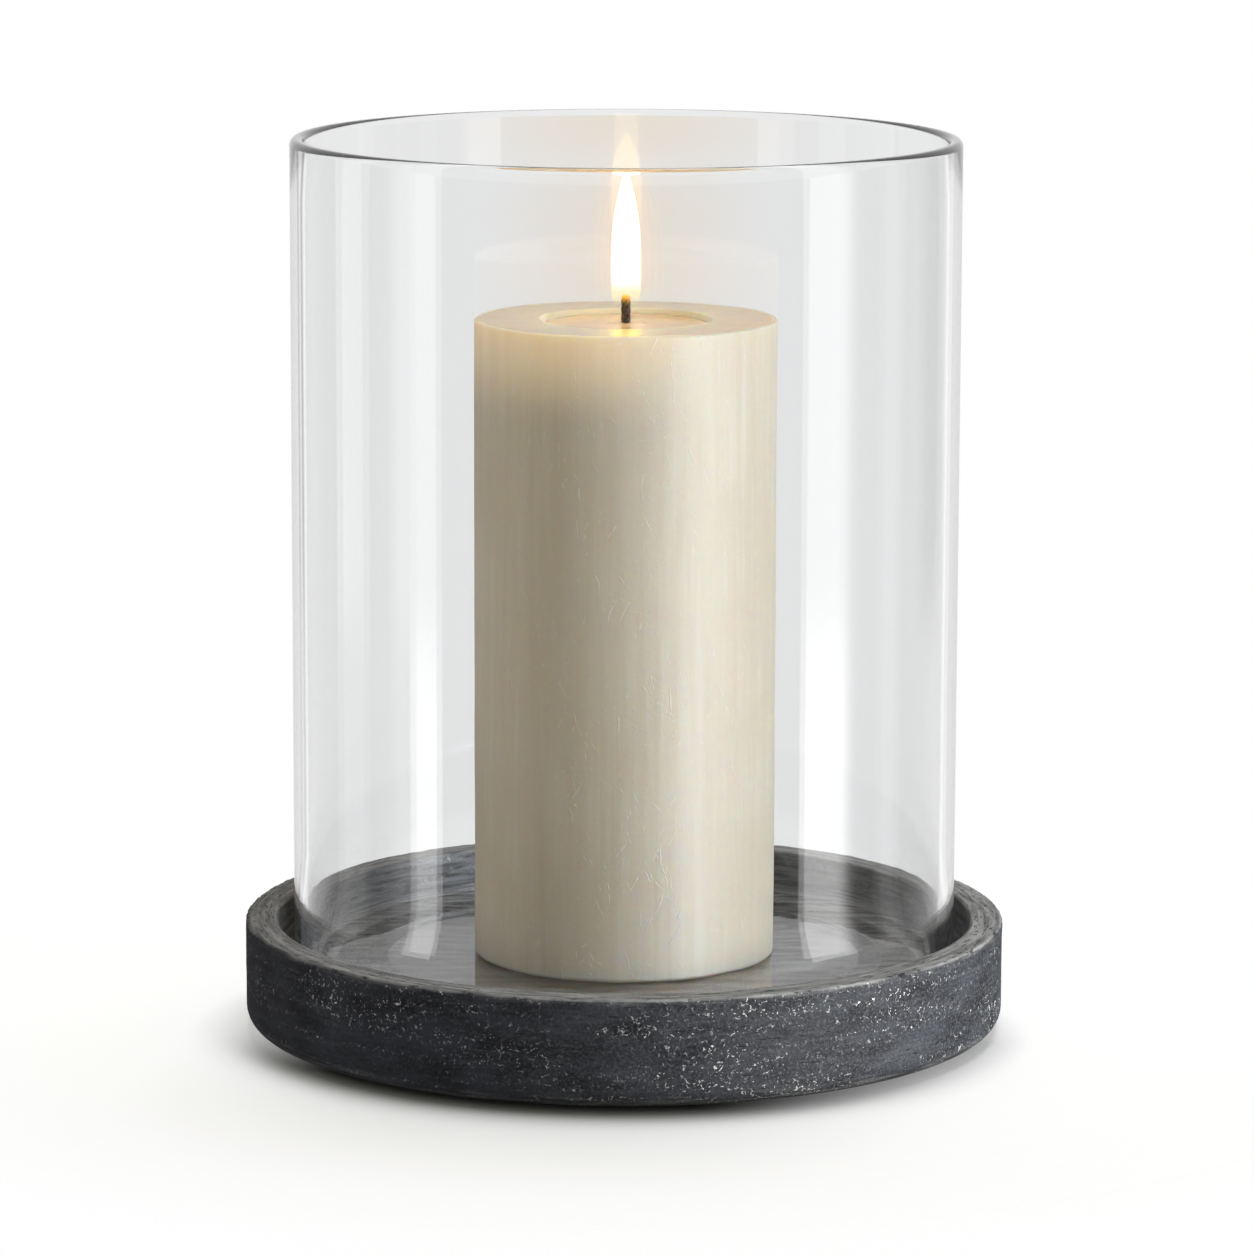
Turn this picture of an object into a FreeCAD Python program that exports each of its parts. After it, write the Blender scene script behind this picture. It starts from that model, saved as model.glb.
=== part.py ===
import FreeCAD, Part
import math
import os

# Hurricane candle lantern: a pillar candle in a closed glass cylinder that stands in a stone tray.
# Millimetres, +Z up. The origin is on the lantern's axis, at the surface that it stands on.
# The sizes grow outwards from the candle: glass round the candle, recess round the glass, lip round the recess.

# Felt pads
pad_count = 4
pad_diameter = 16.0
pad_thickness = 1.2
pad_edge_round = 0.3
pad_inset = 11.0            # from the edge of the tray's flat underside to the pad

# Stone tray
tray_floor = 11.0           # stone left under the recess
recess_depth = 14.0
lip_width = 7.5
lip_outer_round = 1.0
lip_inner_round = 1.0
recess_corner_round = 3.0
tray_foot_round = 4.5

# Glass cylinder
glass_gap = 3.8             # between the glass and the wall of the recess
glass_height = 196.0
glass_wall = 3.3
glass_floor = 5.6
heel_outer_round = 10.0
heel_inner_round = 3.0
rim_round_wanted = 1.5
rim_round_wall_share = 0.45  # the rim is never rounded past the middle of its wall
stand_ring_width = 7.0
punt_depth = 0.8            # how far the middle of the underside is raised
punt_slope_width = 5.0
punt_round = 3.0

# Pillar candle
candle_gap = 38.9           # between the candle and the glass
candle_diameter = 70.0
candle_height = 148.7
candle_foot_round = 1.0
candle_top_round = 0.6
candle_rim = 15.0           # level wax left round the melt bowl
bowl_depth = 2.0
bowl_slope_width = 2.0
bowl_lip_round = 0.5
bowl_floor_round = 2.0

# Wick and its metal sustainer
wick_diameter = 2.2
wick_stand = 7.6            # above the floor of the melt bowl
wick_tip_round = 0.7
tab_diameter = 20.0
tab_thickness = 0.4
tab_inset = 0.4             # above the candle's underside
neck_height = 5.0           # above the disc
neck_wall = 0.5
neck_round = 0.8
cast_fit = 0.05             # between the wax and what it is cast round, and between the wick and its neck

# Places worked out from the sizes above
candle_radius = candle_diameter / 2
glass_bore_radius = candle_radius + candle_gap
glass_radius = glass_bore_radius + glass_wall
recess_radius = glass_radius + glass_gap
tray_radius = recess_radius + lip_width

tray_bottom = pad_thickness
recess_floor = tray_bottom + tray_floor
tray_top = recess_floor + recess_depth
candle_bottom = recess_floor + glass_floor
glass_rim = recess_floor + glass_height
candle_top = candle_bottom + candle_height
bowl_floor = candle_top - bowl_depth
wick_tip = bowl_floor + wick_stand

wick_radius = wick_diameter / 2
neck_bore_radius = wick_radius + cast_fit
neck_radius = neck_bore_radius + neck_wall
tab_radius = tab_diameter / 2
tab_bottom = candle_bottom + tab_inset
tab_top = tab_bottom + tab_thickness
neck_top = tab_top + neck_height


def rounded_outline(corners):
    """Closed wire in the XZ plane through (radius, height, round) corners, each with its tangent arc."""
    points = [FreeCAD.Vector(r, 0, z) for r, z, _ in corners]
    starts = []
    ends = []
    arcs = []
    for i, (point, corner) in enumerate(zip(points, corners)):
        back = (points[i - 1] - point).normalize()
        ahead = (points[(i + 1) % len(points)] - point).normalize()
        half_angle = back.getAngle(ahead) / 2
        radius = corner[2]
        trim = radius / math.tan(half_angle)
        starts.append(point + back * trim)
        ends.append(point + ahead * trim)
        if radius > 0:
            inward = (back + ahead).normalize()
            middle = point + inward * (radius / math.sin(half_angle) - radius)
            arcs.append(Part.Arc(starts[i], middle, ends[i]).toShape())
        else:
            arcs.append(None)
    edges = []
    for i, arc in enumerate(arcs):
        if arc:
            edges.append(arc)
        edges.append(Part.makeLine(ends[i], starts[(i + 1) % len(points)]))
    return Part.Wire(edges)


def turned(corners):
    """Solid turned about Z from the outline of one half of its section."""
    section = Part.Face(rounded_outline(corners))
    return section.revolve(FreeCAD.Vector(0, 0, 0), FreeCAD.Vector(0, 0, 1), 360)


def stone_tray():
    return turned([
        (0, tray_bottom, 0),
        (tray_radius, tray_bottom, tray_foot_round),
        (tray_radius, tray_top, lip_outer_round),
        (recess_radius, tray_top, lip_inner_round),
        (recess_radius, recess_floor, recess_corner_round),
        (0, recess_floor, 0),
    ])


def glass_cylinder():
    rim_round = min(rim_round_wanted, rim_round_wall_share * glass_wall)
    stand_ring_inner = glass_radius - heel_outer_round - stand_ring_width
    return turned([
        (0, recess_floor + punt_depth, 0),
        (stand_ring_inner - punt_slope_width, recess_floor + punt_depth, punt_round),
        (stand_ring_inner, recess_floor, punt_round),
        (glass_radius, recess_floor, heel_outer_round),
        (glass_radius, glass_rim, rim_round),
        (glass_bore_radius, glass_rim, rim_round),
        (glass_bore_radius, candle_bottom, heel_inner_round),
        (0, candle_bottom, 0),
    ])


def pillar_candle():
    wick_bore = wick_radius + cast_fit
    neck_hole = neck_radius + cast_fit
    neck_hole_top = neck_top + cast_fit
    pocket_radius = tab_radius + cast_fit
    pocket_top = tab_top + cast_fit
    bowl_radius = candle_radius - candle_rim
    return turned([
        (wick_bore, neck_hole_top, 0),
        (neck_hole, neck_hole_top, 0),
        (neck_hole, pocket_top, neck_round - cast_fit),
        (pocket_radius, pocket_top, 0),
        (pocket_radius, candle_bottom, 0),
        (candle_radius, candle_bottom, candle_foot_round),
        (candle_radius, candle_top, candle_top_round),
        (bowl_radius, candle_top, bowl_lip_round),
        (bowl_radius - bowl_slope_width, bowl_floor, bowl_floor_round),
        (wick_bore, bowl_floor, 0),
    ])


def wick():
    return turned([
        (0, tab_bottom, 0),
        (wick_radius, tab_bottom, 0),
        (wick_radius, wick_tip, wick_tip_round),
        (0, wick_tip, 0),
    ])


def wick_sustainer():
    return turned([
        (neck_bore_radius, tab_bottom, 0),
        (tab_radius, tab_bottom, 0),
        (tab_radius, tab_top, 0),
        (neck_radius, tab_top, neck_round),
        (neck_radius, neck_top, 0),
        (neck_bore_radius, neck_top, 0),
    ])


def felt_pads():
    """Equal pads on a circle under the flat part of the tray's underside, keyed by name."""
    pad_radius = pad_diameter / 2
    circle_radius = tray_radius - tray_foot_round - pad_inset - pad_radius
    pads = {}
    for i in range(pad_count):
        angle = 2 * math.pi * (i + 0.5) / pad_count
        pad = turned([
            (0, 0, 0),
            (pad_radius, 0, pad_edge_round),
            (pad_radius, pad_thickness, 0),
            (0, pad_thickness, 0),
        ])
        pad.translate(FreeCAD.Vector(circle_radius * math.cos(angle), circle_radius * math.sin(angle), 0))
        pads[f"felt_pad_{i + 1}"] = pad
    return pads


nodes = {
    "stone_tray": stone_tray(),
    "glass_cylinder": glass_cylinder(),
    "pillar_candle": pillar_candle(),
    "wick": wick(),
    "wick_sustainer": wick_sustainer(),
    **felt_pads(),
}

os.makedirs("parts", exist_ok=True)
for name, shape in nodes.items():
    shape.exportStep(f"parts/{name}.step")
    print(name, "valid" if shape.isValid() else "not valid", f"{shape.Volume / 1000:.1f} cm3")
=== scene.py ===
import math

import bmesh
import bpy
from mathutils import Matrix, Vector


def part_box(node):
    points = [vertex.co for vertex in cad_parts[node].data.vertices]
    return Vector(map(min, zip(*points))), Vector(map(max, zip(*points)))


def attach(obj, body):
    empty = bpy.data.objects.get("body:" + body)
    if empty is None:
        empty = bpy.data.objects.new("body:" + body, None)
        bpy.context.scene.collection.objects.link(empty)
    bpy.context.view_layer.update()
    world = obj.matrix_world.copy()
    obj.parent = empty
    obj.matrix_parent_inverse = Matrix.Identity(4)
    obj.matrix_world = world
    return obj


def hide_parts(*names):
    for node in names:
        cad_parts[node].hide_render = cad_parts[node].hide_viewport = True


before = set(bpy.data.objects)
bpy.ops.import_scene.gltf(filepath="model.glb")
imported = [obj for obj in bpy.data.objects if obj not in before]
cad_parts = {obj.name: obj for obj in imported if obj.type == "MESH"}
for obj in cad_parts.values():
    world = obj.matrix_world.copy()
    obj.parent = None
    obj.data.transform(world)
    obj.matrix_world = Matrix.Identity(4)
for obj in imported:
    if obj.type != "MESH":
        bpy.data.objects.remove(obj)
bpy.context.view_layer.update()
scene = bpy.context.scene
scene.view_settings.view_transform = "Standard"
mm = 0.001
fullTurn = 2 * math.pi
weldReach = 0.002 * mm
print("frame loaded:", ", ".join(sorted(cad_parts)))


# Modelling moves that several pieces share

def pickPoints(piece, wanted):  # leaves selected only the points at a wanted place
    bpy.ops.mesh.select_mode(type="VERT")
    bpy.ops.mesh.select_all(action="DESELECT")
    work = bmesh.from_edit_mesh(piece.data)
    for point in work.verts:
        point.select_set(wanted(point.co))
    work.select_flush(True)
    bmesh.update_edit_mesh(piece.data)


def pickLongEdges(piece, longest, wanted):  # edges over a length whose middle is at a wanted place
    bpy.ops.mesh.select_mode(type="EDGE")
    bpy.ops.mesh.select_all(action="DESELECT")
    work = bmesh.from_edit_mesh(piece.data)
    found = [edge for edge in work.edges
             if edge.calc_length() > longest and wanted((edge.verts[0].co + edge.verts[1].co) / 2)]
    for edge in found:
        edge.select_set(True)
    bmesh.update_edit_mesh(piece.data)
    return len(found)


def roundCorner(piece, before, corner, after, segments):
    inward = Vector(before[:2]) - Vector(corner[:2])
    outward = Vector(after[:2]) - Vector(corner[:2])
    reach = corner[2] / math.tan(inward.angle(outward) / 2)
    place = Vector((corner[0], 0, corner[1]))
    pickPoints(piece, lambda point: (point - place).length < weldReach)
    bpy.ops.mesh.bevel(offset=reach, offset_type="OFFSET", segments=segments, affect="VERTICES", profile=0.5)


def drawProfile(name, corners, segments=8):  # half a section, through (radius, height, round) corners
    bpy.ops.object.select_all(action="DESELECT")
    bpy.ops.mesh.primitive_plane_add(size=mm, location=(0, 0, 0))
    piece = bpy.context.object
    piece.name = piece.data.name = name
    bpy.ops.object.mode_set(mode="EDIT")
    bpy.ops.mesh.select_mode(type="VERT")
    bpy.ops.mesh.select_all(action="SELECT")
    bpy.ops.mesh.merge(type="CENTER")
    bpy.ops.transform.translate(value=(corners[0][0], 0, corners[0][1]))
    for start, end in zip(corners, corners[1:]):
        step = (end[0] - start[0], 0, end[1] - start[1])
        bpy.ops.mesh.extrude_region_move(TRANSFORM_OT_translate={"value": step})
    for before, corner, after in zip(corners, corners[1:], corners[2:]):
        if corner[2]:
            roundCorner(piece, before, corner, after, segments)
    return piece


def splitLongEdges(piece, longest, wanted=lambda middle: True):
    while pickLongEdges(piece, longest, wanted):
        bpy.ops.mesh.subdivide(number_cuts=1)


def screwUp(piece, steps, turns=1, rise=0.0):  # edges become walls round the lantern's axis
    bpy.ops.object.mode_set(mode="OBJECT")
    bpy.ops.object.modifier_add(type="SCREW")
    screw = piece.modifiers[-1]
    screw.steps = screw.render_steps = steps
    screw.iterations = turns
    screw.screw_offset = rise
    bpy.ops.object.modifier_apply(modifier=screw.name)
    bpy.ops.object.mode_set(mode="EDIT")
    bpy.ops.mesh.select_mode(type="VERT")
    bpy.ops.mesh.select_all(action="SELECT")
    bpy.ops.mesh.remove_doubles(threshold=weldReach)


def faceOutwards():
    bpy.ops.mesh.select_all(action="SELECT")
    bpy.ops.mesh.normals_make_consistent(inside=False)
    bpy.ops.object.mode_set(mode="OBJECT")
    bpy.ops.object.shade_smooth()


def turnProfile(piece, steps):  # a full turn, closed
    screwUp(piece, steps)
    faceOutwards()


def groupPoints(piece, name, wanted):
    bpy.ops.object.mode_set(mode="EDIT")
    pickPoints(piece, wanted)
    bpy.ops.object.vertex_group_add()
    bpy.ops.object.vertex_group_assign()
    bpy.ops.object.mode_set(mode="OBJECT")
    piece.vertex_groups[-1].name = name


def roughen(piece, name, grain, depth, group=""):  # clouds push the surface in and out
    clouds = bpy.data.textures.new(name, "CLOUDS")
    clouds.noise_scale = grain
    bpy.context.view_layer.objects.active = piece
    bpy.ops.object.modifier_add(type="DISPLACE")
    push = piece.modifiers[-1]
    push.texture = clouds
    push.strength = depth
    push.mid_level = 0.5
    push.vertex_group = group
    bpy.ops.object.modifier_apply(modifier=push.name)


def finishPiece(piece, material, body, slot, *nodes):
    piece.data.materials.clear()
    piece.data.materials.append(material)
    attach(piece, body)
    if nodes:
        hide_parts(*nodes)
    print(f"{piece.name}: {len(piece.data.polygons)} faces on {body}")
    return piece


# Node moves that several finishes share

def startMaterial(name):
    material = bpy.data.materials.new(name)
    material.use_nodes = True
    return material, material.node_tree, material.node_tree.nodes["Principled BSDF"]


def addNode(tree, kind, **settings):
    made = tree.nodes.new("ShaderNode" + kind)
    for name, value in settings.items():
        setattr(made, name, value)
    return made


def feed(tree, socket, value):  # a socket takes a link or a plain value
    if isinstance(value, bpy.types.NodeSocket):
        tree.links.new(value, socket)
    else:
        socket.default_value = value


def objectPlace(tree, stretch=(1, 1, 1)):
    place = addNode(tree, "TexCoord").outputs["Object"]
    if stretch == (1, 1, 1):
        return place
    mapping = addNode(tree, "Mapping")
    feed(tree, mapping.inputs["Vector"], place)
    feed(tree, mapping.inputs["Scale"], stretch)
    return mapping.outputs["Vector"]


def calc(tree, operation, first, second=0.0):
    made = addNode(tree, "Math", operation=operation)
    feed(tree, made.inputs[0], first)
    feed(tree, made.inputs[1], second)
    return made.outputs[0]


def fade(tree, value, start, end, low=0.0, high=1.0):  # smoothly from low at start to high at end
    made = addNode(tree, "MapRange", interpolation_type="SMOOTHSTEP")
    for socket, amount in zip(made.inputs[:5], (value, start, end, low, high)):
        feed(tree, socket, amount)
    return made.outputs[0]


def noise(tree, place, scale, detail=2.0, along=None):  # along runs the grain across one more direction
    made = addNode(tree, "TexNoise", noise_dimensions="3D" if along is None else "4D")
    feed(tree, made.inputs["Vector"], place)
    feed(tree, made.inputs["Scale"], scale)
    feed(tree, made.inputs["Detail"], detail)
    if along is not None:
        feed(tree, made.inputs["W"], along)
    return made.outputs["Fac"]


def cells(tree, place, scale, feature="F1"):
    made = addNode(tree, "TexVoronoi", feature=feature)
    feed(tree, made.inputs["Vector"], place)
    feed(tree, made.inputs["Scale"], scale)
    return made


def warped(tree, place, scale, reach):  # the same place, pushed about by clouds
    clouds = addNode(tree, "TexNoise")
    feed(tree, clouds.inputs["Vector"], place)
    feed(tree, clouds.inputs["Scale"], scale)
    push = addNode(tree, "VectorMath", operation="SCALE")
    feed(tree, push.inputs[0], clouds.outputs["Color"])
    feed(tree, push.inputs["Scale"], reach)
    moved = addNode(tree, "VectorMath", operation="ADD")
    feed(tree, moved.inputs[0], place)
    feed(tree, moved.inputs[1], push.outputs[0])
    return moved.outputs[0]


def mixColour(tree, share, first, second):
    made = addNode(tree, "Mix", data_type="RGBA")
    for socket, value in zip((made.inputs[0], made.inputs[6], made.inputs[7]), (share, first, second)):
        feed(tree, socket, value)
    return made.outputs[2]


def splitPlace(tree):  # the three directions, and the distance from the axis
    parts = addNode(tree, "SeparateXYZ")
    feed(tree, parts.inputs[0], objectPlace(tree))
    flat = addNode(tree, "CombineXYZ")
    feed(tree, flat.inputs[0], parts.outputs["X"])
    feed(tree, flat.inputs[1], parts.outputs["Y"])
    length = addNode(tree, "VectorMath", operation="LENGTH")
    feed(tree, length.inputs[0], flat.outputs[0])
    return parts, length.outputs["Value"]


def bumpFrom(tree, shader, height, strength, distance):
    bump = addNode(tree, "Bump")
    feed(tree, bump.inputs["Height"], height)
    feed(tree, bump.inputs["Strength"], strength)
    feed(tree, bump.inputs["Distance"], distance)
    feed(tree, shader.inputs["Normal"], bump.outputs["Normal"])


def outputOf(tree):
    return tree.nodes["Material Output"].inputs["Surface"]


# Places of the pieces, from the frame
trayLow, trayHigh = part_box("stone_tray")
glassLow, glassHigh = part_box("glass_cylinder")
candleLow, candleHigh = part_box("pillar_candle")
wickLow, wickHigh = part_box("wick")
tabLow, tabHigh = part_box("wick_sustainer")


# Stone tray
stoneTray = dict(steps=768, row=1.3 * mm, wideRow=12 * mm, lip=7.5 * mm, lipOuterRound=1.0 * mm,
                 lipInnerRound=1.0 * mm, recessRound=3.0 * mm, footRound=4.5 * mm,
                 swell=0.25 * mm, swellGrain=22 * mm, wear=0.4 * mm, wearGrain=2.2 * mm, wearReach=1.2 * mm,
                 cloudTones=((0.011, 0.0115, 0.014, 1), (0.038, 0.040, 0.046, 1)),
                 grainTone=(0.085, 0.087, 0.092, 1), streakTone=(0.085, 0.087, 0.091, 1),
                 paintedLipSheenTones=((0.065, 0.065, 0.067, 1), (0.28, 0.28, 0.275, 1)),
                 floorTones=((0.014, 0.014, 0.015, 1), (0.26, 0.26, 0.255, 1)),
                 paintedLightWallTones=((0.048, 0.05, 0.054, 1), (0.205, 0.215, 0.232, 1)),
                 pitTone=(0.014, 0.014, 0.016, 1), wornTone=(0.22, 0.215, 0.20, 1), wornShare=0.45,
                 fleckTone=(0.70, 0.68, 0.63, 1), relief=0.25 * mm,
                 patchScale=30, rowScale=520, cloudScale=70, grainScale=1700, streakScale=900,
                 pitScale=1700, furrowScale=170, hairScale=480, hairWarp=900, hairReach=1.8 * mm,
                 hairBreaks=1100, dotScale=1900, driftScale=380)


def stoneFlecks(tree, place, size):  # pale hairs and dots that fill the pores
    bent = warped(tree, place, size["hairWarp"], size["hairReach"])
    cracks = cells(tree, bent, size["hairScale"], "DISTANCE_TO_EDGE").outputs["Distance"]
    broken = fade(tree, noise(tree, place, size["hairBreaks"], 1), 0.54, 0.62)
    hairs = calc(tree, "MULTIPLY", fade(tree, cracks, 0.05, 0.02), broken)
    dots = cells(tree, place, size["dotScale"])
    dotShape = fade(tree, dots.outputs["Distance"], 0.34, 0.16)
    dotGate = fade(tree, dots.outputs["Color"], 0.70, 0.80)
    marks = calc(tree, "MAXIMUM", calc(tree, "MULTIPLY", dotShape, dotGate), hairs)
    drifts = noise(tree, place, size["driftScale"], 1)
    return calc(tree, "MULTIPLY", marks, fade(tree, drifts, 0.34, 0.64, 0.25, 1.0))


def darkStone(size):
    material, tree, shader = startMaterial("darkStone")
    place = objectPlace(tree)
    parts, radius = splitPlace(tree)
    height = parts.outputs["Z"]
    outwards = calc(tree, "ADD", radius, height)  # runs across the lip and then up the side
    bore = trayHigh.x - size["lip"]
    recess = calc(tree, "MULTIPLY", fade(tree, radius, bore - 1.5 * mm, bore - 2.5 * mm),
                  fade(tree, height, glassLow.z + 2 * mm, glassLow.z + mm))
    lipTop = fade(tree, height, trayHigh.z - 0.6 * mm, trayHigh.z - 0.3 * mm)
    patches = noise(tree, objectPlace(tree, (1, 1, 2.6)), size["patchScale"], 3)
    alongRows = calc(tree, "MULTIPLY", outwards, size["rowScale"])
    rows = noise(tree, objectPlace(tree, (25, 25, 0)), 1, 1, alongRows)
    clouds = noise(tree, objectPlace(tree, (1, 1, 2.4)), size["cloudScale"], 4)
    grain = noise(tree, place, size["grainScale"], 2)
    alongStreaks = calc(tree, "MULTIPLY", outwards, size["streakScale"])
    streaks = noise(tree, objectPlace(tree, (70, 70, 0)), 1, 3, alongStreaks)
    alongPits = calc(tree, "MULTIPLY", outwards, size["pitScale"])
    pits = noise(tree, objectPlace(tree, (300, 300, 0)), 1, 2, alongPits)
    pitted = fade(tree, calc(tree, "ADD", pits, calc(tree, "MULTIPLY", lipTop, 0.05)), 0.62, 0.70)
    tone = mixColour(tree, fade(tree, clouds, 0.3, 0.7), *size["cloudTones"])
    tone = mixColour(tree, fade(tree, grain, 0.4, 0.75, 0, 0.6), tone, size["grainTone"])
    tone = mixColour(tree, fade(tree, streaks, 0.5, 0.75, 0, 0.45), tone, size["streakTone"])
    streaked = fade(tree, streaks, 0.3, 0.7)
    # painted sheen: the lip's top is painted lighter, in streaks, for the light glancing off it
    lipSheen = mixColour(tree, streaked, *size["paintedLipSheenTones"])
    tone = mixColour(tree, lipTop, tone, lipSheen)
    furrows = noise(tree, objectPlace(tree, (0.3, 1.5, 1)), size["furrowScale"], 5)
    sunken = calc(tree, "ADD", calc(tree, "MULTIPLY", furrows, 0.7), calc(tree, "MULTIPLY", grain, 0.3))
    sunken = mixColour(tree, fade(tree, sunken, 0.42, 0.60), *size["floorTones"])
    # painted reflected light: the recess wall is painted lighter and bluer than the stone
    wall = mixColour(tree, streaked, *size["paintedLightWallTones"])
    tone = mixColour(tree, fade(tree, radius, bore + 0.5 * mm, bore), tone, wall)
    tone = mixColour(tree, recess, tone, sunken)
    tone = mixColour(tree, pitted, tone, size["pitTone"])
    edge = Vector((trayHigh.x, trayHigh.z))
    topEdge = calc(tree, "MULTIPLY", fade(tree, height, edge.y - 1.6 * mm, edge.y - 0.5 * mm),
                   fade(tree, radius, edge.x - 1.6 * mm, edge.x - 0.8 * mm))
    footEdge = fade(tree, height, trayLow.z + 4.0 * mm, trayLow.z + 1.6 * mm)
    worn = calc(tree, "MULTIPLY", calc(tree, "MAXIMUM", topEdge, footEdge), fade(tree, streaks, 0.42, 0.62))
    tone = mixColour(tree, calc(tree, "MULTIPLY", worn, size["wornShare"]), tone, size["wornTone"])
    crowd = calc(tree, "ADD", patches, calc(tree, "MULTIPLY", calc(tree, "SUBTRACT", rows, 0.5), 0.75))
    crowd = calc(tree, "ADD", crowd, calc(tree, "MULTIPLY", worn, 0.12))
    crowd = calc(tree, "SUBTRACT", crowd, calc(tree, "MULTIPLY", lipTop, 0.3))
    flecks = calc(tree, "MULTIPLY", stoneFlecks(tree, place, size), fade(tree, crowd, 0.40, 0.68, 0.06, 1.0))
    tone = mixColour(tree, flecks, tone, size["fleckTone"])
    feed(tree, shader.inputs["Base Color"], tone)
    feed(tree, shader.inputs["Roughness"], fade(tree, grain, 0.3, 0.7, 0.46, 0.64))
    relief = calc(tree, "ADD", calc(tree, "MULTIPLY", clouds, 0.5), calc(tree, "MULTIPLY", grain, 0.5))
    relief = calc(tree, "ADD", relief, calc(tree, "MULTIPLY", streaks, 0.5))
    relief = calc(tree, "SUBTRACT", relief, calc(tree, "MULTIPLY", pitted, 0.5))
    bumpFrom(tree, shader, relief, 0.5, size["relief"])
    return material


def turnTray(size):
    rim = trayHigh.x
    bore = rim - size["lip"]
    piece = drawProfile("tray_stone", [
        (0, trayLow.z, 0),
        (rim, trayLow.z, size["footRound"]),
        (rim, trayHigh.z, size["lipOuterRound"]),
        (bore, trayHigh.z, size["lipInnerRound"]),
        (bore, glassLow.z, size["recessRound"]),
        (0, glassLow.z, 0),
    ])
    splitLongEdges(piece, size["row"], lambda middle: middle.x > bore - size["recessRound"]
                   and middle.z > trayLow.z + weldReach)
    splitLongEdges(piece, size["wideRow"])
    turnProfile(piece, size["steps"])
    edge = Vector((rim - size["lipOuterRound"], trayHigh.z - size["lipOuterRound"]))
    groupPoints(piece, "outerEdge", lambda point: (Vector((point.xy.length, point.z)) - edge).length
                < size["lipOuterRound"] + size["wearReach"] and point.xy.length > edge.x)
    groupPoints(piece, "showing", lambda point: point.z > trayLow.z + size["footRound"] / 2
                and point.z > glassLow.z + mm)
    roughen(piece, "stoneSwell", size["swellGrain"], size["swell"], "showing")
    roughen(piece, "stoneWear", size["wearGrain"], size["wear"], "outerEdge")
    return piece


trayPiece = finishPiece(turnTray(stoneTray), darkStone(stoneTray), "tray", "dark_stone", "stone_tray")


# Glass cylinder
glassCylinder = dict(steps=512, row=12 * mm, wall=3.3 * mm, heelOuterRound=10 * mm, heelInnerRound=3 * mm,
                     rimRound=1.485 * mm, standRing=7 * mm, puntDepth=0.8 * mm, puntSlope=5 * mm,
                     puntRound=3 * mm, ripple=0.2 * mm, rippleGrain=16 * mm, floorRow=1.2 * mm,
                     floorRipple=0.1 * mm, floorGrain=6 * mm,
                     tint=(0.932, 0.935, 0.938, 1), lightTint=(0.94, 0.94, 0.94, 1), index=1.5)


def passStraight(tree, shader, ray, tint):  # rays of one kind go through unbent
    clear = addNode(tree, "BsdfTransparent")
    clear.inputs["Color"].default_value = tint
    mix = addNode(tree, "MixShader")
    feed(tree, mix.inputs["Fac"], addNode(tree, "LightPath").outputs[ray])
    feed(tree, mix.inputs[1], shader)
    feed(tree, mix.inputs[2], clear.outputs[0])
    return mix.outputs[0]


def clearGlass(size):
    material, tree, shader = startMaterial("clearGlass")
    shader.inputs["Base Color"].default_value = size["tint"]
    shader.inputs["Roughness"].default_value = 0.0
    shader.inputs["IOR"].default_value = size["index"]
    shader.inputs["Transmission Weight"].default_value = 1.0
    surface = shader.outputs[0]
    for ray in ("Is Shadow Ray", "Is Diffuse Ray"):
        surface = passStraight(tree, surface, ray, size["lightTint"])
    feed(tree, outputOf(tree), surface)
    return material


def turnGlass(size):
    outside = glassHigh.x
    bore = outside - size["wall"]
    ring = outside - size["heelOuterRound"] - size["standRing"]
    punt = glassLow.z + size["puntDepth"]
    piece = drawProfile("glass_vessel", [
        (0, punt, 0),
        (ring - size["puntSlope"], punt, size["puntRound"]),
        (ring, glassLow.z, size["puntRound"]),
        (outside, glassLow.z, size["heelOuterRound"]),
        (outside, glassHigh.z, size["rimRound"]),
        (bore, glassHigh.z, size["rimRound"]),
        (bore, candleLow.z, size["heelInnerRound"]),
        (0, candleLow.z, 0),
    ], 14)
    seat = candleHigh.x + mm
    splitLongEdges(piece, size["floorRow"], lambda middle: middle.x > seat
                   and abs(middle.z - candleLow.z) < weldReach)
    splitLongEdges(piece, size["row"])
    turnProfile(piece, size["steps"])
    groupPoints(piece, "floor", lambda point: seat < point.xy.length < ring
                and abs(point.z - candleLow.z) < weldReach)
    roughen(piece, "glassFloor", size["floorGrain"], size["floorRipple"], "floor")
    heelTop = candleLow.z + size["heelOuterRound"]
    groupPoints(piece, "heel", lambda point: point.xy.length > ring and glassLow.z + mm < point.z < heelTop)
    roughen(piece, "glassRipple", size["rippleGrain"], size["ripple"], "heel")
    return piece


glassPiece = finishPiece(turnGlass(glassCylinder), clearGlass(glassCylinder), "glass", "clear_glass",
                         "glass_cylinder")


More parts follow.
